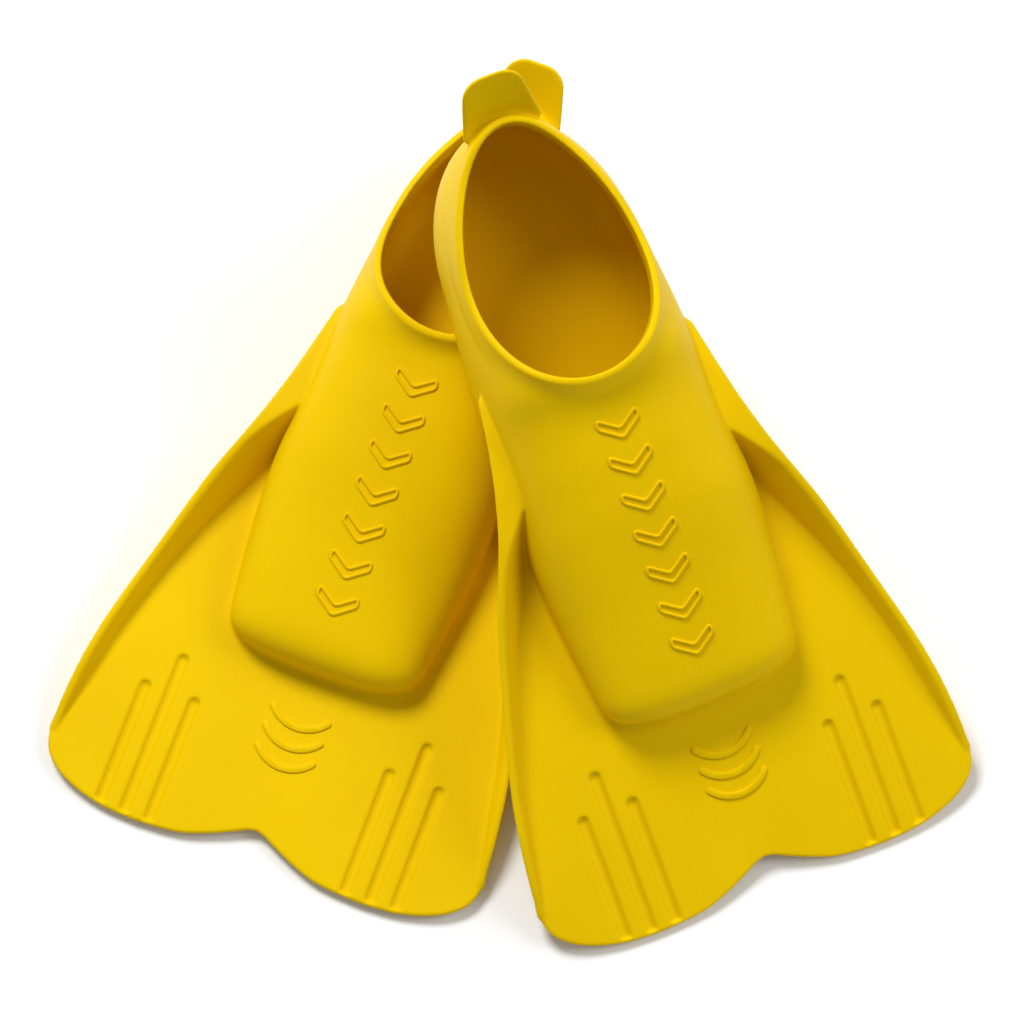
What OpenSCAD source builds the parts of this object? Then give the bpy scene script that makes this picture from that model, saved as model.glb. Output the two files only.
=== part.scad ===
// Swim fins: a pair of short full-foot training fins, the second fin lying across the first.
// Millimetres, +Z up. Each fin is drawn in its own frame: x from the back of the heel to the
// blade's end, y across, z up from the underside of the sole. The pair is then laid out around
// one origin, on the floor under the middle of the pair's box.

/* [Foot pocket] */
// Widest outside width of the foot pocket, at the ball of the foot
pocket_w = 99.6; // [84:0.2:116]
// Height of the opening's front lip above the sole's underside
instep_h = 71; // [60:0.5:90]
// Wall thickness of the foot pocket
wall = 3; // [2.4:0.1:4]
// Thickness of the sole
sole_t = 4; // [3:0.5:7]
// Squareness of the pocket's cross section, 2 is an ellipse
squareness = 2.6; // [2:0.1:4]
// Width of the raised lip around the opening
lip_w = 2.6; // [1.6:0.2:4]
// Widest half width of the foot opening
opening_half_w = 34.8; // [28:0.2:38]

/* [Heel tab] */
// Length of the pull tab from its root
tab_len = 22.5; // [14:0.5:32]
// Width of the pull tab at its root
tab_w = 31; // [20:1:36]
// Thickness of the pull tab
tab_t = 2.4; // [1.8:0.1:4]
// Angle that the tab leans back from upright
tab_lean = 43; // [20:1:60]

/* [Blade] */
// Widest width of the blade over its rails
blade_w = 195.2; // [160:0.2:230]
// Thickness of the blade plate
blade_t = 3.6; // [3:0.1:5]
// Downward slope of the blade from the foot pocket, in degrees
blade_slope = 3.77; // [2:0.01:5]
// Depth of the water channels
channel_d = 1.2; // [0.6:0.1:1.8]
// Width of one water channel
channel_w = 5.1; // [3:0.1:7]
// Distance between neighbouring channels
channel_pitch = 11.06; // [8:0.01:13]
// Distance from the fin's middle line to the middle channel of each group
channel_y = 55.1; // [40:0.1:66]
// Thickness of the top edge of a side rail
rail_edge = 2.4; // [1.8:0.1:4]

/* [Raised marks] */
// Height of the raised chevrons and ripples above the surface
mark_h = 0.9; // [0.4:0.1:1.5]
// Number of chevrons along the top of the foot pocket
chevrons = 7; // [3:1:8]

/* [Layout of the pair] */
// Turn of the lower fin in plan
left_yaw = -20.5; // [-30:0.1:-10]
// Turn of the upper fin in plan
right_yaw = 22; // [10:0.1:30]
// Tilt of the upper fin, heel raised
right_pitch = 16.19; // [4:0.01:20]
// Sideways place of the upper fin's heel beside the lower one's
right_x = -18; // [-40:0.5:20]
// Place of the upper fin's heel in front of the lower one's
right_y = -25; // [-40:0.5:20]
// Height of the upper fin's heel
right_z = 92.62; // [20:0.01:120]

/* [Hidden] */
$fn = 48;
kw = pocket_w/99.6;
kb = blade_w/195.2;
kh = instep_h/76.5;
zc = 16;
tab_z = 59*kh;
root_end = 259.3;
web_start = 259.6;
tip_start = 264.7;
rail_end = 313;
blade_x0 = 170;
blade_z0 = 14;
pair_shift = [7.62, 166.295, 0];
skin = [0.93, 0.79, 0.03];
dark = [0.84, 0.68, 0.02];
lite = [0.98, 0.86, 0.12];

// outside half width and ridge height of the foot pocket along its length
function hw(x) = kw*lookup(x, [[0,3],[1.5,10],[4,16],[8,21.8],[13,27],[24,33],[38,38],[58,41.4],[79,44.2],[98,45.6],
    [127,46.8],[158,48.6],[169,49.6],[180,49.6],[195,48.6],[212,47],[231,44],[240,41.6],[247,38.3],[251,33.5],[254,27],[256.3,19],[257.5,9]]);
function hz(x) = kh*lookup(x, [[0,54.5],[1.5,57.5],[4,60],[25,64],[55,70],[80,74],[97,76],[107,76.5],[115,74.8],[126,71],[140,66.6],[170,57.6],[205,46],
    [235,36],[243,32.6],[249,28],[253,22.6],[256.3,16],[257.5,13]]);
stations = [0,1.5,4,8,13,24,38,58,79,97,107,115,126,140,149,158,169,180,195,212,231,240,245,249,252,254,256.3,257.5];

// one cross section: flat underside, tucked lower sides, squarish dome
function sec(x, w, h, z0) = concat(
    [[x, 0.93*w, z0], [x, 0.98*w, z0+5]],
    [for (a = [0:9:180]) [x, w*sign(cos(a))*pow(abs(cos(a)), 2/squareness), zc+(h-zc)*pow(sin(a), 2/squareness)]],
    [[x, -0.98*w, z0+5], [x, -0.93*w, z0]]);
// height of the dome over a point of the plan
function dome(x, y) = let (w = hw(x), u = min(0.999, abs(y)/w)) zc+(hz(x)-zc)*pow(1-pow(u, squareness), 1/squareness);
// outline of the foot opening
function egg(t, k) = [58.5-(53.5-k)*cos(t), (opening_half_w-k)*sin(t)*(1-0.22*cos(t))];
// height of the blade's middle plane
function bz(x) = blade_z0-(x-blade_x0)*tan(blade_slope);

// rail lines
function rail_in(x) = kb*lookup(x, [[104,44.2],[121,45],[141,46.3],[158,48.3],[169,49.6],[176,52.4],[189,58.6],[207,67.3],[229,75.9],[248.5,81.7],[264,85.6],[281,88.9],[298,92.3],[313,95.2]]);
function rail_out(x) = kb*lookup(x, [[104,47],[121,50],[141,54.4],[160,60],[176,66],[189,71.2],[207,76.8],[229,82.9],[248.5,88.3],[264,92.2],[281,95.2],[298,97.1],[313,97.6]]);
function rail_top(x) = lookup(x, [[104,36],[121,38.5],[141,38.5],[160,37],[176,34],[189,31],[207,26.5],[229,22.2],[248.5,19.6],[264,17.8],[281,15.6],[298,11.2],[313,6.6]]);
function rail_low(x) = lookup(x, [[104,32],[121,25],[141,18],[160,13],[176,10],[189,8.5],[207,6.5],[229,4.5],[248.5,3.2],[264,2.4],[281,1.8],[298,1.6],[313,2.2]]);
rail_x = [104,112,121,131,141,150,160,169,176,182,189,198,207,218,229,239,248.5];
function rail_sec(x, s) = let (a = rail_in(x), b = rail_out(x), l = rail_low(x), t = rail_top(x), e = min(rail_edge, (b-a)*0.55), m = l+(t-l)*0.5)
    [[x, s*(a-1), l], [x, s*(a+1.6), l], [x, s*(a+(b-a)*0.42+1.4), m], [x, s*b, t-0.5], [x, s*(b-e*0.3), t], [x, s*(b-e), t-0.2], [x, s*(a+(b-a)*0.42-1), m]];

// a smooth closed-ended curve through the given points
function bend(p, k) = concat([for (i = [0:len(p)-2]) for (j = [0:k-1])
    let (u = j/k, a = p[max(i-1,0)], b = p[i], c = p[i+1], d = p[min(i+2,len(p)-1)])
    0.5*((2*b)+(c-a)*u+(2*a-5*b+4*c-d)*u*u+(3*b-a-3*c+d)*u*u*u)], [p[len(p)-1]]);
function mirrored(p) = [for (i = [len(p)-1:-1:0]) [p[i][0], -p[i][1]]];

module loft(rows) {
    n = len(rows[0]); m = len(rows);
    polyhedron(points = [for (r = rows) for (p = r) p],
        faces = concat([[for (i = [0:n-1]) i]], [[for (i = [0:n-1]) (m-1)*n+n-1-i]],
            [for (j = [0:m-2]) for (i = [0:n-1]) [j*n+i, (j+1)*n+i, (j+1)*n+(i+1)%n]],
            [for (j = [0:m-2]) for (i = [0:n-1]) [j*n+i, (j+1)*n+(i+1)%n, j*n+(i+1)%n]]), convexity = 8);
}
module ring_loft(rows) {
    n = len(rows[0]); m = len(rows);
    polyhedron(points = [for (r = rows) for (p = r) p],
        faces = concat(
            [for (j = [0:m-1]) for (i = [0:n-1]) [j*n+i, ((j+1)%m)*n+(i+1)%n, ((j+1)%m)*n+i]],
            [for (j = [0:m-1]) for (i = [0:n-1]) [j*n+i, j*n+(i+1)%n, ((j+1)%m)*n+(i+1)%n]]), convexity = 8);
}
// the blade's own plane: x still measured from the heel, z = 0 on the plate's middle
module in_blade() translate([blade_x0, 0, blade_z0]) rotate([0, blade_slope, 0]) translate([-blade_x0, 0, 0]) children();

module foot_pocket() color(skin) resize([0,0,0]) difference() {
    loft([for (x = stations) sec(x, hw(x), hz(x), sole_t)]);
    loft([for (x = concat([wall], [for (s = stations) if (s > wall+0.5 && s < 257.5-wall) s], [257.5-wall]))
        sec(x, hw(x)-wall*(1+0.25*exp(-x/12)), hz(x)-wall, sole_t-1.5)]);
    translate([0,0,36]) linear_extrude(60) polygon([for (t = [0:7.5:352.5]) egg(t, 0)]);
}
module sole() color(dark) linear_extrude(sole_t)
    polygon(concat([for (x = stations) [x, 0.93*hw(x)]], mirrored([for (x = stations) [x, 0.93*hw(x)]])));
module opening_rim() color(lite) ring_loft([for (t = [0:7.5:352.5])
    let (p = egg(t, 0), q = egg(t, -lip_w/2), r = egg(t, -lip_w), z = dome(max(r[0],2), r[1]), zi = max(z+0.3, min(dome(p[0],p[1]), z+2.2)))
    [[p[0]+0.02, p[1], zi-3.4], [p[0], p[1], zi], [q[0], q[1], zi+0.9], [max(r[0],1.6), r[1], z+0.35], [max(r[0],1.6), r[1], z-1.8]]]);
module tab_root() color(skin) translate([0.8, 0, tab_z]) rotate([90,0,0]) cylinder(r = 2, h = tab_w-3, center = true);
module heel_tab() color(lite) translate([0.8, 0, tab_z]) rotate([0, -tab_lean, 0]) rotate([0,-90,0]) translate([0,0,-tab_t/2])
    linear_extrude(tab_t) polygon(let (w = tab_w/2, u = w-2.6, l = tab_len+2.4, r = 5)
        concat([[2.4, w], [2.4, -w]], [for (a = [-90:15:0]) [l-r+r*cos(a), -u+r+r*sin(a)]], [for (a = [0:15:90]) [l-r+r*cos(a), u-r+r*sin(a)]]));
root_x = [172,176,182,189,198,207,218,229,239,248.5,root_end];
module blade_root() color(skin) in_blade() translate([0,0,-blade_t/2]) linear_extrude(blade_t) difference() {
    polygon(concat([for (x = root_x) [x, rail_in(x)+0.8]], mirrored([for (x = root_x) [x, rail_in(x)+0.8]])));
    polygon(concat([for (x = [for (s = stations) if (s > 165 && s < 256) s]) [x, hw(x)-1.2]], [[256.1, 16], [256.4, 8]],
        mirrored(concat([for (x = [for (s = stations) if (s > 165 && s < 256) s]) [x, hw(x)-1.2]], [[256.1, 16], [256.4, 8]]))));
}
module rail_root(s) color(lite) loft([for (x = concat(rail_x, [root_end])) s > 0 ? rail_sec(x, s) : [for (i = [6:-1:0]) rail_sec(x, s)[i]]]);
module rail_tip(s) color(lite) loft([for (x = [tip_start, 272, 281, 289, 298, 306, rail_end]) s > 0 ? rail_sec(x, s) : [for (i = [6:-1:0]) rail_sec(x, s)[i]]]);
module flex_web() color(dark) resize([0,0,0]) {
    in_blade() translate([0,0,-blade_t/2]) linear_extrude(blade_t) polygon([[web_start, rail_in(web_start)+0.8], [tip_start-0.3, rail_in(tip_start)+0.8],
        [tip_start-0.3, -rail_in(tip_start)-0.8], [web_start, -rail_in(web_start)-0.8]]);
    for (s = [-1, 1]) loft([for (x = [web_start, tip_start-0.3]) s > 0 ? rail_sec(x, s) : [for (i = [6:-1:0]) rail_sec(x, s)[i]]]);
}
tip_half = concat([for (x = [tip_start, 272, 281, 289, 298]) [x, rail_in(x)+0.8]],
    bend([[304, kb*95.4], [310,kb*97.0],[317,kb*96.6],[323.5,kb*93.1],[329.6,kb*85.4],[334,kb*74],[336.3,kb*62],[336.8,kb*47],[335.4,kb*31],[331.8,kb*19.5],[327.4,kb*9.5],[324.3,kb*3.2],[323.5,0]], 3));
module blade_tip() color(skin) in_blade() difference() {
    translate([0,0,-blade_t/2]) linear_extrude(blade_t) polygon(concat(tip_half, [for (i = [len(tip_half)-2:-1:0]) [tip_half[i][0], -tip_half[i][1]]]));
    for (s = [-1, 1]) for (k = [-1:1])
        let (r = (channel_w*channel_w/4+channel_d*channel_d)/(2*channel_d), x0 = k == 0 ? 264.7 : 280)
        translate([max(x0, tip_start+0.6)+1.8, s*(channel_y+k*channel_pitch), blade_t/2+r-channel_d]) {
            rotate([0,90,0]) cylinder(r = r, h = 90);
            sphere(r = r);
        }
}
module vamp_mark() color(lite) for (i = [0:chevrons-1])
    let (x = 134+i*15.6, a = atan((hz(x+5)-hz(x-3))/8))
    translate([x, 0, hz(x)]) rotate([0, -a, 0]) translate([0,0,-1.6]) linear_extrude(1.6+mark_h)
        polygon([[-4.8,8],[-1.6,8],[4.8,0],[-1.6,-8],[-4.8,-8],[1.6,0]]);
module blade_mark() color(lite) in_blade() translate([0,0,blade_t/2-0.6]) for (i = [0:2])
    translate([262+i*9, 0, 0]) rotate([0,0,-52]) rotate_extrude(angle = 104) translate([14, 0]) square([3, 0.6+mark_h]);

module put_left() translate(pair_shift) rotate([0,0,left_yaw-90]) children();
module put_right() translate(pair_shift) translate([right_x, right_y, right_z]) rotate([0,0,right_yaw-90]) rotate([0, right_pitch, 0]) children();
module left_foot_pocket() put_left() foot_pocket();
module left_sole() put_left() sole();
module left_opening_rim() put_left() opening_rim();
module left_tab_root() put_left() tab_root();
module left_heel_tab() put_left() heel_tab();
module left_blade_root() put_left() blade_root();
module left_rail_root_outboard() put_left() rail_root(-1);
module left_rail_root_inboard() put_left() rail_root(1);
module left_flex_web() put_left() flex_web();
module left_blade_tip() put_left() blade_tip();
module left_rail_tip_outboard() put_left() rail_tip(-1);
module left_rail_tip_inboard() put_left() rail_tip(1);
module left_vamp_mark() put_left() vamp_mark();
module left_blade_mark() put_left() blade_mark();
module right_foot_pocket() put_right() foot_pocket();
module right_sole() put_right() sole();
module right_opening_rim() put_right() opening_rim();
module right_tab_root() put_right() tab_root();
module right_heel_tab() put_right() heel_tab();
module right_blade_root() put_right() blade_root();
module right_rail_root_outboard() put_right() rail_root(1);
module right_rail_root_inboard() put_right() rail_root(-1);
module right_flex_web() put_right() flex_web();
module right_blade_tip() put_right() blade_tip();
module right_rail_tip_outboard() put_right() rail_tip(1);
module right_rail_tip_inboard() put_right() rail_tip(-1);
module right_vamp_mark() put_right() vamp_mark();
module right_blade_mark() put_right() blade_mark();

left_foot_pocket();
left_sole();
left_opening_rim();
left_tab_root();
left_heel_tab();
left_blade_root();
left_rail_root_outboard();
left_rail_root_inboard();
left_flex_web();
left_blade_tip();
left_rail_tip_outboard();
left_rail_tip_inboard();
left_vamp_mark();
left_blade_mark();
right_foot_pocket();
right_sole();
right_opening_rim();
right_tab_root();
right_heel_tab();
right_blade_root();
right_rail_root_outboard();
right_rail_root_inboard();
right_flex_web();
right_blade_tip();
right_rail_tip_outboard();
right_rail_tip_inboard();
right_vamp_mark();
right_blade_mark();
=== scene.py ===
import math

import bpy
import numpy as np
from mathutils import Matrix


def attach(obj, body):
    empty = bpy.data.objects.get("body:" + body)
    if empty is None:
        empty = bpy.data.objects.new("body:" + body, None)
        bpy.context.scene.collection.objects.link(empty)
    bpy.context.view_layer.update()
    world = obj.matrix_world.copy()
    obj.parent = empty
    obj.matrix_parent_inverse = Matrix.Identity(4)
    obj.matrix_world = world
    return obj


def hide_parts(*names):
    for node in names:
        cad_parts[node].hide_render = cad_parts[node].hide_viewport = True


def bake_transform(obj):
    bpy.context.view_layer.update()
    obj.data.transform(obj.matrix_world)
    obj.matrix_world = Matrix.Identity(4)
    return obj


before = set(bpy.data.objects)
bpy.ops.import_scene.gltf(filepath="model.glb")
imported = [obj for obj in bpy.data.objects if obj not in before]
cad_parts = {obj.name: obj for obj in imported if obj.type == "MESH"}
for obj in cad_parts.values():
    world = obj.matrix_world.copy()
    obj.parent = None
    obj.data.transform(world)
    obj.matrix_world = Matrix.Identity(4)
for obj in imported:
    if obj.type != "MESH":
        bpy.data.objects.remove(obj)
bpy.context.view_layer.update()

import openvdb as vdb
from mathutils import Matrix, Vector

# ---------------------------------------------------------------- where the two fins lie (mm and degrees, as in the CAD)
SHIFT = np.array([7.62, 166.295, 0.0])
LEFT = dict(yaw=-20.5, pitch=0.0, at=(0.0, 0.0, 0.0))
RIGHT = dict(yaw=22.0, pitch=16.19, at=(-18.0, -25.0, 92.62))
KH = 71 / 76.5
ZC = 16.0
TAB_Z = 59 * KH
TAB_LEAN = math.radians(43)
SLOPE = math.radians(3.77)


def turn(p):
    a, b = math.radians(p["yaw"] - 90), math.radians(p["pitch"])
    rz = np.array([[math.cos(a), -math.sin(a), 0], [math.sin(a), math.cos(a), 0], [0, 0, 1]])
    ry = np.array([[math.cos(b), 0, math.sin(b)], [0, 1, 0], [-math.sin(b), 0, math.cos(b)]])
    return rz @ ry


def to_world(p, co):
    return (np.asarray(co, float) @ turn(p).T + np.array(p["at"]) + SHIFT) / 1000.0


# ---------------------------------------------------------------- profiles along the fin
FX = np.arange(-60.0, 400.0, 0.5)


def profile(pairs, sigma=3.0, floor=-1e9):
    xs, ys = zip(*pairs)
    y = np.interp(FX, xs, ys)
    # straight on beyond the ends, then a soft blur, so that there are no kinks
    y = np.where(FX < xs[0], ys[0] + (FX - xs[0]) * (ys[1] - ys[0]) / (xs[1] - xs[0]), y)
    y = np.where(FX > xs[-1], ys[-1] + (FX - xs[-1]) * (ys[-1] - ys[-2]) / (xs[-1] - xs[-2]), y)
    k = np.exp(-0.5 * (np.arange(-40, 41) * 0.5 / sigma) ** 2)
    y = np.convolve(np.pad(y, 40, mode="edge"), k / k.sum(), mode="valid")
    y = np.maximum(y, floor)
    return lambda x: np.interp(x, FX, y)


W = profile([(0, 39.3), (30, 40.4), (58, 41.6), (79, 44.2), (98, 45.6), (127, 46.8), (158, 48.6), (169, 49.6), (180, 49.6), (195, 48.6), (212, 47), (231, 44.6), (242, 43.2), (257, 41.4), (270, 40)], 5, 34.0)
HX = profile([(0, 101), (4, 88), (10, 70), (18, 58), (25, 53.5), (38, 49.8), (55, 49.2), (80, 52.4), (97, 54.4), (107, 54.9), (113, 53.2), (121, 48.6), (130, 46.0), (145, 43.2), (170, 37.3), (205, 26.7), (235, 18.6), (247, 15.6), (257, 13.4), (270, 11)], 3.2, 8.0)
PX = profile([(0, 2.0), (30, 2.1), (80, 2.6), (200, 2.7), (240, 2.9)], 6)
RAIL_IN = profile([(96, 43.2), (104, 44.2), (121, 45), (141, 46.3), (158, 48.3), (169, 49.6), (176, 52.4), (189, 58.6), (207, 67.3), (229, 75.9), (248.5, 81.7), (264, 85.6), (281, 88.9), (298, 92.3), (313, 95.2)], 4)
RAIL_OUT = profile([(96, 45.4), (104, 47), (121, 50), (141, 54.4), (160, 60), (176, 66), (189, 71.2), (207, 76.8), (229, 82.9), (248.5, 88.3), (264, 92.2), (281, 95.2), (298, 97.1), (313, 97.6)], 4)
RAIL_TOP = profile([(96, 33.4), (104, 36), (121, 38.5), (141, 38.5), (160, 37), (176, 34), (189, 31), (207, 26.5), (229, 22.2), (248.5, 19.6), (264, 17.8), (281, 15.6), (298, 11.6), (313, 6.6)], 4)
RAIL_LOW = profile([(96, 34), (104, 32), (121, 25), (141, 18), (160, 13), (176, 10), (189, 8.5), (207, 6.5), (229, 4.5), (248.5, 3.2), (264, 2.4), (281, 1.8), (298, 1.8), (313, 2.4)], 4)
PLATE_T = profile([(150, 4.0), (262, 3.8), (300, 3.3), (337, 2.9)], 4)


def bz(x):
    return 14.0 - (np.asarray(x) - 170.0) * math.tan(SLOPE)


def plan(x, ay):
    heel = np.clip((58.0 - x) / 58.0, 0, 3) ** 2.0
    toe = np.clip((x - 229.0) / 25.5, 0, 3) ** 5.0
    return (ay / W(x)) ** PX(x) + heel + toe


def dome(x, y):
    return ZC + HX(x) * np.clip(1 - plan(x, np.abs(y)), 0, 1) ** (1 / 2.6)


T = np.linspace(0, math.pi, 241)
EGG = np.stack([58.5 - 53.5 * np.cos(T), 34.8 * np.sin(T) * (1 - 0.22 * np.cos(T))], 1)
_er = dome(EGG[:, 0], EGG[:, 1])
_er = np.convolve(np.pad(_er, 12, mode="edge"), np.hanning(25) / np.hanning(25).sum(), mode="valid")


def rim_z(x):
    return np.interp(x, EGG[:, 0], _er)


def bend(p, k):
    p = np.array(p, float)
    out = []
    for i in range(len(p) - 1):
        a, b, c, d = p[max(i - 1, 0)], p[i], p[i + 1], p[min(i + 2, len(p) - 1)]
        for j in range(k):
            u = j / k
            out.append(0.5 * (2 * b + (c - a) * u + (2 * a - 5 * b + 4 * c - d) * u * u + (3 * b - a - 3 * c + d) * u**3))
    return np.array(out + [p[-1]])


_side = np.array([[x, RAIL_IN(x) + 1.4] for x in np.arange(150, 300, 6)])
TIP = bend([(300, 94.2), (305, 95.8), (310, 97.0), (317, 96.4), (323.5, 93.1), (329.6, 85.4), (334, 74), (336.3, 62), (336.8, 47), (335.4, 31), (331.8, 19.5), (327.4, 9.5), (324.6, 3.8), (323.6, 0)], 6)
OUTLINE = np.vstack([_side, TIP])


def polyline_distance(px, py, line):
    d = np.full(px.shape, 1e9)
    for a, b in zip(line[:-1], line[1:]):
        e = b - a
        t = np.clip(((px - a[0]) * e[0] + (py - a[1]) * e[1]) / (e @ e), 0, 1)
        d = np.minimum(d, (px - a[0] - t * e[0]) ** 2 + (py - a[1] - t * e[1]) ** 2)
    return np.sqrt(d)


def inside(px, py, poly):
    r = np.zeros(px.shape, bool)
    for a, b in zip(poly, np.roll(poly, -1, axis=0)):
        if a[1] == b[1]:
            continue
        c = ((a[1] > py) != (b[1] > py)) & (px < (b[0] - a[0]) * (py - a[1]) / (b[1] - a[1]) + a[0])
        r ^= c
    return r


def smin(a, b, k):
    h = np.maximum(k - np.abs(a - b), 0) / k
    return np.minimum(a, b) - h * h * k * 0.25


def smax(a, b, k):
    return -smin(-a, -b, k)


# ---------------------------------------------------------------- one fin as a distance field, and its mesh
def fin_field(h):
    xs = np.arange(-24.0, 345.0, h)
    ys = np.arange(-3 * h, 104.0, h)
    zs = np.arange(-5.0, 82.0, h)
    x1 = xs
    x = xs[:, None, None].astype(np.float32)
    ay = np.abs(ys)[None, :, None].astype(np.float32)
    z = zs[None, None, :].astype(np.float32)
    X2, Y2 = np.meshgrid(xs, np.abs(ys), indexing="ij")
    col = lambda v: np.asarray(v, np.float32).reshape(-1, 1, 1)

    P = plan(X2, Y2).astype(np.float32)[:, :, None]
    up = np.clip((z - ZC) / col(HX(x1)), 0, None) ** 2.6
    low = 0.17 * np.clip((ZC - z) / ZC, 0, 1.5) ** 2
    F = P + up + low - 1
    gx, gy, gz = np.gradient(F, h)
    side = np.clip(F / np.sqrt(gx * gx + gy * gy + gz * gz + 1e-7), -30, 30)
    del gx, gy, gz
    side = np.where(x > 259, np.maximum(side, x - 255.5), side)
    pocket = smax(side, -z, 7.0)
    cavity = smax(side + 3.0, 4.2 - z, 9.0)

    d2 = polyline_distance(X2, Y2, OUTLINE)
    poly = np.vstack([OUTLINE, [[150, 0]]])
    d2 = np.where(inside(X2, Y2 + 1e-6, poly), -d2, d2).astype(np.float32)[:, :, None]
    zn = (z - col(bz(x1))) * math.cos(SLOPE)
    plate = smax(np.abs(zn) - col(PLATE_T(x1)) / 2, d2, 0.9)

    zb, zt, zl = col(bz(x1)), col(RAIL_TOP(x1)), col(RAIL_LOW(x1))
    yi, yo = col(RAIL_IN(x1)), col(RAIL_OUT(x1))
    s = (z - zb) / np.maximum(zt - zb, 2.5)
    edge = 3.8 - 0.8 * np.clip(s, 0, 1)
    # beside the pocket the rail is a solid ledge
    ledge = 9.0 * np.clip((176.0 - x) / 24.0, 0, 1) ** 1.5
    g = np.where(s < 1, np.clip(s, 0, 1) ** 1.25, 1 + 1.25 * (s - 1))
    yc = yi + 0.8 + (yo - 1.6 - yi - 0.8) * g
    gx, gz = np.gradient(yc[:, 0, :], h)
    slope = np.sqrt(1 + gx**2 + gz**2)[:, None, :]
    rail = np.maximum(ay - yc, yc - ay - ledge) / slope - edge / 2
    rail = smax(smax(rail, z - zt, 1.5), zl - z, 1.6)
    rail = smax(rail, x - 314.0, 3.0)
    rail = smax(rail, 101.0 - x, 6.0)

    u = smin(pocket, plate, 3.2)
    u = smin(u, rail, 1.1)
    u = smax(u, -cavity, 0.6)

    egg = polyline_distance(X2, Y2, EGG)
    egg = np.where(Y2 < np.interp(X2, EGG[:, 0], EGG[:, 1], left=-1, right=-1), -egg, egg).astype(np.float32)[:, :, None]
    hole = np.maximum(egg, 34.0 - z)
    zr = col(rim_z(x1))
    u = smax(u, -hole, 1.2)
    lip = smax(np.abs(egg - 1.1) - 1.0, np.abs(z - (zr - 1.6)) - 3.2, 1.6)
    u = smin(u, lip, 8.0)
    u = smax(u, -hole, 1.0)

    sn, cs = math.sin(TAB_LEAN), math.cos(TAB_LEAN)
    ta = -(x - 0.8) * sn + (z - TAB_Z) * cs
    tb = (x - 0.8) * cs + (z - TAB_Z) * sn
    tb = tb - 0.0142 * np.clip(1 - ta / 32, 0.22, 1.1) * ay * ay - 0.1 - 0.010 * np.clip(ta, 0, 40) ** 1.5
    thick = 1.12 - 0.010 * np.clip(ta, 0, 30)
    hw = 16.6 - 0.20 * np.clip(ta, -2, 30)
    qa, qy = ta - (24.4 - 8.0), ay - (hw - 8.0)
    flat = np.sqrt(np.maximum(qa, 0) ** 2 + np.maximum(qy, 0) ** 2) + np.minimum(np.maximum(qa, qy), 0) - 8.0
    flat = smax(flat, -ta - 3.2, 2.0)
    tab = smax(flat, np.abs(tb) - thick, 1.2)
    u = smin(u, tab, 3.0)
    u = np.maximum(u, -np.maximum(egg + 0.2, 40.0 - z))

    r = (5.4 * 5.4 / 4 + 1.8 * 1.8) / 3.6
    top = col(PLATE_T(x1)) / 2 + r - 1.8
    for k in (-1, 0, 1):
        xs0 = (265.3 if k == 0 else 280.8) + 1.8
        d = np.sqrt((ay - (55.1 + k * 11.06)) ** 2 + (zn - top) ** 2 + np.minimum(x - xs0, 0) ** 2) - r
        u = smax(u, -smax(d, d2 + 1.5, 0.8), 0.5)
    keep = dict(side=side, pocket=pocket, cavity=cavity, plate=plate, rail=rail, egg=np.broadcast_to(egg, u.shape), tab=tab, ta=np.broadcast_to(ta, u.shape))
    return u.astype(np.float32), keep, (xs, ys, zs)


def sample(f, co, axes, h):
    xs, ys, zs = axes
    q = np.stack([(co[:, 0] - xs[0]) / h, (np.abs(co[:, 1]) - ys[0]) / h, (co[:, 2] - zs[0]) / h], 1)
    q = np.clip(q, 0, np.array(f.shape) - 1.001)
    i = q.astype(int)
    t = q - i
    r = 0
    for a in (0, 1):
        for b in (0, 1):
            for c in (0, 1):
                w = (t[:, 0] if a else 1 - t[:, 0]) * (t[:, 1] if b else 1 - t[:, 1]) * (t[:, 2] if c else 1 - t[:, 2])
                r = r + w * f[i[:, 0] + a, i[:, 1] + b, i[:, 2] + c]
    return r


H = 0.8
field, parts, axes = fin_field(H)
G = [g.astype(np.float32) for g in np.gradient(field, H)]
full = np.concatenate([field[:, :3:-1, :], field[:, 3:, :]], axis=1)
grid = vdb.FloatGrid()
grid.copyFromArray(np.ascontiguousarray(full))
grid.background = 3.0
points, tris, quads = grid.convertToPolygons(isovalue=0.0, adaptivity=0.0)
y0 = -(full.shape[1] - 1) / 2 * H
verts = points.astype(float) * H + np.array([axes[0][0], y0, axes[2][0]])
for _ in range(3):
    d = sample(field, verts, axes, H)
    n = np.stack([sample(g, verts, axes, H) for g in G], 1)
    n[:, 1] *= np.where(verts[:, 1] < 0, -1, 1)
    L2 = (n * n).sum(1)
    verts -= n * np.clip(d / np.maximum(L2, 0.2), -0.4, 0.4)[:, None]
n = np.stack([sample(g, verts, axes, H) for g in G], 1)
n[:, 1] *= np.where(verts[:, 1] < 0, -1, 1)
normals = n / np.maximum(np.linalg.norm(n, axis=1), 1e-6)[:, None]
faces = [tuple(q) for q in quads] + [tuple(t) for t in tris]
print("fin mesh", len(verts), "points", len(faces), "faces")
# outward winding
f0 = np.array([f[:3] for f in faces])
fn = np.cross(verts[f0[:, 1]] - verts[f0[:, 0]], verts[f0[:, 2]] - verts[f0[:, 0]])
flip = (fn * normals[f0[:, 0]]).sum(1).mean() < 0
if flip:
    faces = [f[::-1] for f in faces]

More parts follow.
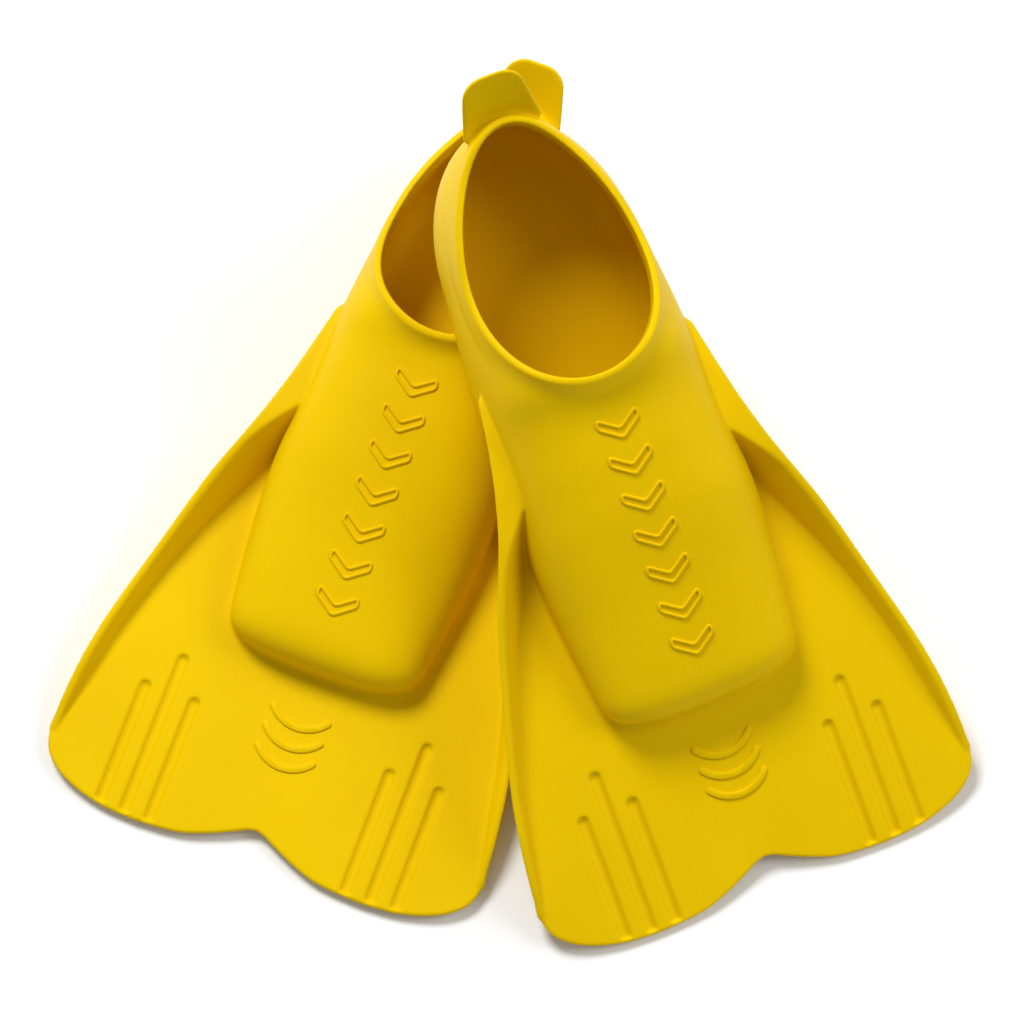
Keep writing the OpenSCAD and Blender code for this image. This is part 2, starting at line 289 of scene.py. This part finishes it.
# ---------------------------------------------------------------- regions: which named piece each face belongs to
cen = np.array([verts[list(f)].mean(0) for f in faces])
fnm = np.array([normals[list(f)].mean(0) for f in faces])
val = {k: sample(v, cen, axes, H) for k, v in parts.items()}
cx, cy, cz = cen.T
inner = (val["cavity"] > -1.2) & (val["cavity"] < 0.9) & (val["side"] < -1.6) & (cz > 3.0) & (cz < 70) & (cx < 257)
inner &= np.abs(val["pocket"]) > 1.4
region = np.full(len(faces), "foot_pocket", dtype=object)
region[inner] = "pocket_lining"
region[inner & (cz < 9.5) & (fnm[:, 2] > 0.75)] = "insole"
region[(cz < 6.5) & (fnm[:, 2] < -0.1) & (val["pocket"] < 1.2) & (val["side"] > -60) & (cx < 258.5) & ~inner & (np.abs(val["pocket"]) < 1.0)] = "sole"
rim = (val["egg"] > -1.0) & (val["egg"] < 3.4) & (cz > rim_z(cx) - 2.6) & (cx < 118)
region[rim] = "opening_rim"
plate = (np.abs(val["plate"]) < 1.7) & (val["pocket"] > 2.0) & (cx > 168)
region[plate & (cx <= 258.5)] = "blade_root"
region[plate & (cx > 258.5) & (cx <= 266)] = "flex_web"
region[plate & (cx > 266)] = "blade_tip"
channel = (cx > 262) & (val["pocket"] > 2.0) & (np.abs(cy) < RAIL_IN(cx) - 1) & (region == "foot_pocket")
region[channel] = "blade_tip"
rail = (val["rail"] < 0.45) & (val["rail"] < np.abs(val["plate"]) + 0.2) & (val["pocket"] > 0.6) & (np.abs(cy) > RAIL_IN(cx) - 1.8) & (cx < 316)
region[rail & (cx <= 262) & (cy > 0)] = "rail_root_p"
region[rail & (cx > 262) & (cy > 0)] = "rail_tip_p"
region[rail & (cx <= 262) & (cy < 0)] = "rail_root_n"
region[rail & (cx > 262) & (cy < 0)] = "rail_tip_n"
left_over = (region == "foot_pocket") & (cx > 262)
region[left_over] = "blade_tip"
tabr = (val["tab"] < 0.5) & (cx < 6) & (np.abs(cy) < 17)
region[tabr & (val["ta"] > 3.0)] = "heel_tab"
region[tabr & (val["ta"] > -1.0) & (val["ta"] <= 3.0) & (cx < 3.5)] = "tab_root"
# a face with next to no neighbours of its own piece joins the piece round it, so no piece has stray faces
names = sorted(set(region))
code = np.array([names.index(r) for r in region])
corner = np.array([list(f) + [f[-1]] * (4 - len(f)) for f in faces])
for _ in range(3):
    vote = np.zeros((len(verts), len(names)), np.int16)
    for k in range(4):
        np.add.at(vote, (corner[:, k], code), 1)
    tally = sum(vote[corner[:, k]] for k in range(4))
    lone = tally[np.arange(len(code)), code] <= 7
    code = np.where(lone, tally.argmax(1), code)
region = np.array(names, dtype=object)[code]
for r in sorted(set(region)):
    print("  ", r, int((region == r).sum()))


# ---------------------------------------------------------------- materials
def elastomer(name, tint=(0.0, 0.0, 0.0), rough=0.46, grain=1.0):
    m = bpy.data.materials.new(name)
    m.use_nodes = True
    nt = m.node_tree
    nt.nodes.clear()
    add = nt.nodes.new
    link = nt.links.new
    out = add("ShaderNodeOutputMaterial")
    b = add("ShaderNodeBsdfPrincipled")
    link(b.outputs[0], out.inputs[0])
    tc = add("ShaderNodeTexCoord")
    # cloudy colour drift of a thick moulding: a shade deeper here and there
    n1 = add("ShaderNodeTexNoise"); n1.inputs["Scale"].default_value = 14; n1.inputs["Detail"].default_value = 3
    link(tc.outputs["Object"], n1.inputs["Vector"])
    r1 = add("ShaderNodeValToRGB")
    r1.color_ramp.elements[0].position = 0.3
    r1.color_ramp.elements[1].position = 0.72
    # tint shifts the base colour; the darker inside copy uses it as painted shade
    base = np.array([0.86, 0.57, 0.0]) + np.array(tint)
    r1.color_ramp.elements[0].color = (*np.clip(base * np.array([0.955, 0.935, 1.0]), 0, 1), 1)
    r1.color_ramp.elements[1].color = (*np.clip(base * np.array([1.02, 1.03, 1.0]), 0, 1), 1)
    link(n1.outputs["Fac"], r1.inputs["Fac"])
    # fine specks of the mould's surface
    n2 = add("ShaderNodeTexNoise"); n2.inputs["Scale"].default_value = 900; n2.inputs["Detail"].default_value = 2
    link(tc.outputs["Object"], n2.inputs["Vector"])
    mx = add("ShaderNodeMix"); mx.data_type = "RGBA"; mx.blend_type = "MULTIPLY"
    mx.inputs["Factor"].default_value = 0.08
    link(r1.outputs["Color"], mx.inputs[6]); link(n2.outputs["Color"], mx.inputs[7])
    link(mx.outputs[2], b.inputs["Base Color"])
    # roughness: handled and rubbed areas are a little glossier
    n3 = add("ShaderNodeTexNoise"); n3.inputs["Scale"].default_value = 32; n3.inputs["Detail"].default_value = 5
    link(tc.outputs["Object"], n3.inputs["Vector"])
    mr = add("ShaderNodeMapRange")
    mr.inputs["From Min"].default_value = 0.3; mr.inputs["From Max"].default_value = 0.7
    mr.inputs["To Min"].default_value = rough - 0.035; mr.inputs["To Max"].default_value = rough + 0.06
    link(n3.outputs["Fac"], mr.inputs["Value"]); link(mr.outputs["Result"], b.inputs["Roughness"])
    # bump: mould grain and very slight waviness
    bp = add("ShaderNodeBump"); bp.inputs["Strength"].default_value = 0.22 * grain; bp.inputs["Distance"].default_value = 0.00006
    n4 = add("ShaderNodeTexNoise"); n4.inputs["Scale"].default_value = 1500; n4.inputs["Detail"].default_value = 3
    link(tc.outputs["Object"], n4.inputs["Vector"]); link(n4.outputs["Fac"], bp.inputs["Height"])
    b2 = add("ShaderNodeBump"); b2.inputs["Strength"].default_value = 0.25; b2.inputs["Distance"].default_value = 0.0005
    n5 = add("ShaderNodeTexNoise"); n5.inputs["Scale"].default_value = 30; n5.inputs["Detail"].default_value = 1
    link(tc.outputs["Object"], n5.inputs["Vector"]); link(n5.outputs["Fac"], b2.inputs["Height"])
    link(b2.outputs["Normal"], bp.inputs["Normal"]); link(bp.outputs["Normal"], b.inputs["Normal"])
    b.inputs["Specular IOR Level"].default_value = 0.09
    b.inputs["Specular Tint"].default_value = (1.0, 0.88, 0.45, 1)
    b.inputs["Subsurface Weight"].default_value = 0.0
    return m


SKIN = elastomer("yellow_moulding")
# darker, more orange copy of the same moulding for the pocket's inside: painted shade standing in for the shadow inside
# the pocket
INSIDE_PAINTED_SHADE = elastomer("yellow_moulding_painted_shade", (-0.03, -0.07, 0.0), 0.58, 1.6)


# ---------------------------------------------------------------- pieces
def make(name, vs, fs, ns, mat, place):
    me = bpy.data.meshes.new(name)
    me.from_pydata(to_world(place, vs).tolist(), [], fs)
    me.materials.append(mat)
    me.polygons.foreach_set("use_smooth", [True] * len(me.polygons))
    me.update()
    if ns is not None:
        me.normals_split_custom_set_from_vertices((np.asarray(ns) @ turn(place).T).tolist())
    o = bpy.data.objects.new(name, me)
    bpy.context.scene.collection.objects.link(o)
    return o


def sub_mesh(mask):
    idx = np.nonzero(mask)[0]
    used = np.unique(np.concatenate([np.array(faces[i]) for i in idx]))
    back = np.full(len(verts), -1)
    back[used] = np.arange(len(used))
    fs = [tuple(int(back[v]) for v in faces[i]) for i in idx]
    return verts[used], fs, normals[used]


def inset(poly, d):
    """The closed outline moved inwards by d, by its corner bisectors."""
    p = np.asarray(poly, float)
    a, c = np.roll(p, 1, 0), np.roll(p, -1, 0)
    e1, e2 = p - a, c - p
    e1 /= np.linalg.norm(e1, axis=1)[:, None]; e2 /= np.linalg.norm(e2, axis=1)[:, None]
    n1, n2 = np.stack([-e1[:, 1], e1[:, 0]], 1), np.stack([-e2[:, 1], e2[:, 0]], 1)
    m = n1 + n2
    m /= np.maximum((m * m).sum(1) / 2, 0.35)[:, None]
    return p + m * d


def rounded(poly, r, k=5):
    p = np.asarray(poly, float)
    out = []
    for i in range(len(p)):
        a, b, c = p[i - 1], p[i], p[(i + 1) % len(p)]
        u, v = (a - b) / np.linalg.norm(a - b), (c - b) / np.linalg.norm(c - b)
        q = min(r, 0.45 * np.linalg.norm(a - b), 0.45 * np.linalg.norm(c - b))
        s, e = b + u * q, b + v * q
        for t in np.linspace(0, 1, k):
            out.append((1 - t) ** 2 * s + 2 * t * (1 - t) * b + t * t * e)
    return np.array(out)


def raised(outline, surface, height):
    """A raised mark with a soft edge, following the surface: rings from below the skin up to a closed top."""
    area = 0.5 * np.sum(outline[:, 0] * np.roll(outline[:, 1], -1) - np.roll(outline[:, 0], -1) * outline[:, 1])
    if area < 0:
        outline = outline[::-1]
    rings = [(0.0, -0.5), (0.0, 0.15), (0.05, 0.55), (0.22, 0.85), (0.5, 1.0)]
    vs, fs = [], []
    n = len(outline)
    for d, hgt in rings:
        q = inset(outline, d)
        z = surface(q[:, 0], q[:, 1]) + (hgt * height if hgt > 0 else hgt)
        vs.append(np.column_stack([q, z]))
    for j in range(len(rings) - 1):
        for i in range(n):
            k = (i + 1) % n
            fs.append((j * n + i, j * n + k, (j + 1) * n + k, (j + 1) * n + i))
    fs.append(tuple((len(rings) - 1) * n + i for i in range(n)))
    fs.append(tuple(range(n - 1, -1, -1)))
    return np.vstack(vs), fs


def joined(items):
    vs, fs, off = [], [], 0
    for v, f in items:
        vs.append(v)
        fs += [tuple(i + off for i in g) for g in f]
        off += len(v)
    return np.vstack(vs), fs


def ridge(line, width, surface, height, closed=True):
    """A raised rounded bead along a smooth line, following the surface."""
    p = np.asarray(line, float)
    t = np.roll(p, -1, 0) - np.roll(p, 1, 0)
    t /= np.linalg.norm(t, axis=1)[:, None]
    nrm = np.stack([-t[:, 1], t[:, 0]], 1)
    cols = [(-1.0, -0.5), (-1.0, 0.05), (-0.86, 0.55), (-0.5, 0.92), (0.0, 1.0), (0.5, 0.92), (0.86, 0.55), (1.0, 0.05), (1.0, -0.5)]
    n, k = len(p), len(cols)
    vs = []
    for c, hgt in cols:
        q = p + nrm * c * width / 2
        z = surface(q[:, 0], q[:, 1]) + (hgt * height if hgt > 0 else hgt)
        vs.append(np.column_stack([q, z]))
    fs = []
    for j in range(k):
        for i in range(n):
            a, b = i, (i + 1) % n
            fs.append((j * n + a, ((j + 1) % k) * n + a, ((j + 1) % k) * n + b, j * n + b))
    vs = np.vstack(vs)
    q = np.array(fs)
    vol = (vs[q[:, 0]] * np.cross(vs[q[:, 1]], vs[q[:, 2]])).sum() + (vs[q[:, 0]] * np.cross(vs[q[:, 2]], vs[q[:, 3]])).sum()
    return vs, fs if vol > 0 else [f[::-1] for f in fs]


chev = []
for i in range(7):
    x = 134 + i * 15.6
    p = rounded([(-4.4, 8.4), (-1.0, 9.0), (5.4, 0), (-1.0, -9.0), (-4.4, -8.4), (1.4, 0)], 1.6, 7) + np.array([x, 0])
    chev.append(ridge(p, 1.5, dome, 0.95))
waves = []
for i in range(3):
    a = np.radians(np.linspace(-52, 52, 25))
    o = np.stack([262 + i * 9 + 17 * np.cos(a), 17 * np.sin(a)], 1)
    q = np.stack([262 + i * 9 + 14 * np.cos(a[::-1]), 14 * np.sin(a[::-1])], 1)
    ends = [np.stack([262 + i * 9 + (15.5 + 1.5 * np.cos(t)) * math.cos(s) - sg * 1.5 * np.sin(t) * math.sin(s),
                      (15.5 + 1.5 * np.cos(t)) * math.sin(s) + sg * 1.5 * np.sin(t) * math.cos(s)], 1)
            for s, sg, t in ((a[-1], 1, np.linspace(0, math.pi, 9)[1:-1]), (a[0], -1, np.linspace(math.pi, 0, 9)[1:-1]))]
    waves.append(raised(np.vstack([o, ends[0], q, ends[1]]), lambda x, y: bz(x) + PLATE_T(x) / 2 / math.cos(SLOPE), 0.9))

for side, place, out in (("left", LEFT, "n"), ("right", RIGHT, "p")):
    pocket, blade, tab = f"{side}_pocket", f"{side}_blade", f"{side}_tab"
    inn = "p" if out == "n" else "n"
    plan_of = {
        "foot_pocket": ("foot_pocket", SKIN, "ride", ["foot_pocket"]),
        # the lining and insole take the darker inside copy: painted shade
        "pocket_lining": ("pocket_lining", INSIDE_PAINTED_SHADE, "ride", []),
        "insole": ("insole", INSIDE_PAINTED_SHADE, "ride", []),
        "sole": ("sole", SKIN, "ride", ["sole"]),
        "opening_rim": ("opening_rim", SKIN, "ride", ["opening_rim"]),
        "tab_root": ("tab_root", SKIN, "tab", ["tab_root"]),
        "heel_tab": ("heel_tab", SKIN, "tab", ["heel_tab"]),
        "blade_root": ("blade_root", SKIN, "ride", ["blade_root"]),
        "flex_web": ("flex_web", SKIN, "blade", ["flex_web"]),
        "blade_tip": ("blade_tip", SKIN, "blade", ["blade_tip"]),
        f"rail_root_{out}": ("rail_root_outboard", SKIN, "blade", ["rail_root_outboard"]),
        f"rail_root_{inn}": ("rail_root_inboard", SKIN, "blade", ["rail_root_inboard"]),
        f"rail_tip_{out}": ("rail_tip_outboard", SKIN, "blade", ["rail_tip_outboard"]),
        f"rail_tip_{inn}": ("rail_tip_inboard", SKIN, "blade", ["rail_tip_inboard"]),
    }
    for reg, (nm, mat, how, nodes) in plan_of.items():
        vs, fs, ns = sub_mesh(region == reg)
        o = make(f"v_{side}_{nm}", vs, fs, ns, mat, place)
        if how == "ride":
            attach(o, pocket)
        elif how == "blade":
            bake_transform(o)
        else:
            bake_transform(o)
        if nodes:
            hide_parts(*[f"{side}_{n}" for n in nodes])
    o = make(f"v_{side}_vamp_mark", *joined(chev), None, SKIN, place)
    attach(o, pocket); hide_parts(f"{side}_vamp_mark")
    o = make(f"v_{side}_blade_mark", *joined(waves), None, SKIN, place)
    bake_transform(o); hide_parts(f"{side}_blade_mark")

# ---------------------------------------------------------------- floor, light, camera
scene = bpy.context.scene
me = bpy.data.meshes.new("floor")
me.from_pydata([(-6, -6, 0), (6, -6, 0), (6, 6, 0), (-6, 6, 0)], [], [(0, 1, 2, 3)])
floor = bpy.data.objects.new("floor", me)
scene.collection.objects.link(floor)
fm = bpy.data.materials.new("floor")
fm.use_nodes = True
fb = fm.node_tree.nodes["Principled BSDF"]
fb.inputs["Base Color"].default_value = (0.93, 0.93, 0.93, 1)
fb.inputs["Roughness"].default_value = 0.9
fb.inputs["Specular IOR Level"].default_value = 0.1
me.materials.append(fm)
floor.location.z = -0.0004

world = bpy.data.worlds.new("world")
world.use_nodes = True
world.node_tree.nodes["Background"].inputs[0].default_value = (1, 1, 1, 1)
world.node_tree.nodes["Background"].inputs[1].default_value = 0.33
scene.world = world


def area(name, at, to, size, power):
    d = bpy.data.lights.new(name, "AREA")
    d.shape = "DISK"
    d.size = size
    d.energy = power
    o = bpy.data.objects.new(name, d)
    o.location = at
    o.rotation_euler = (Vector(to) - Vector(at)).to_track_quat("-Z", "Y").to_euler()
    scene.collection.objects.link(o)
    return o


area("key", (-0.75, 1.25, 1.9), (0, 0, 0), 0.9, 49)
area("fill", (1.7, 0.2, 1.5), (0, 0, 0), 1.2, 16)

EL, D = math.radians(73.5), 1.7
target = Vector((0.0012, -0.0055, 0.03))
cam = bpy.data.cameras.new("camera")
cam.sensor_width = 36
cam.lens = 142.0
cam.clip_end = 50
co = bpy.data.objects.new("camera", cam)
co.location = target + Vector((0, -math.cos(EL) * D, math.sin(EL) * D))
co.rotation_euler = (target - co.location).to_track_quat("-Z", "Y").to_euler()
scene.collection.objects.link(co)
scene.camera = co
scene.view_settings.view_transform = "Standard"
scene.view_settings.look = "None"
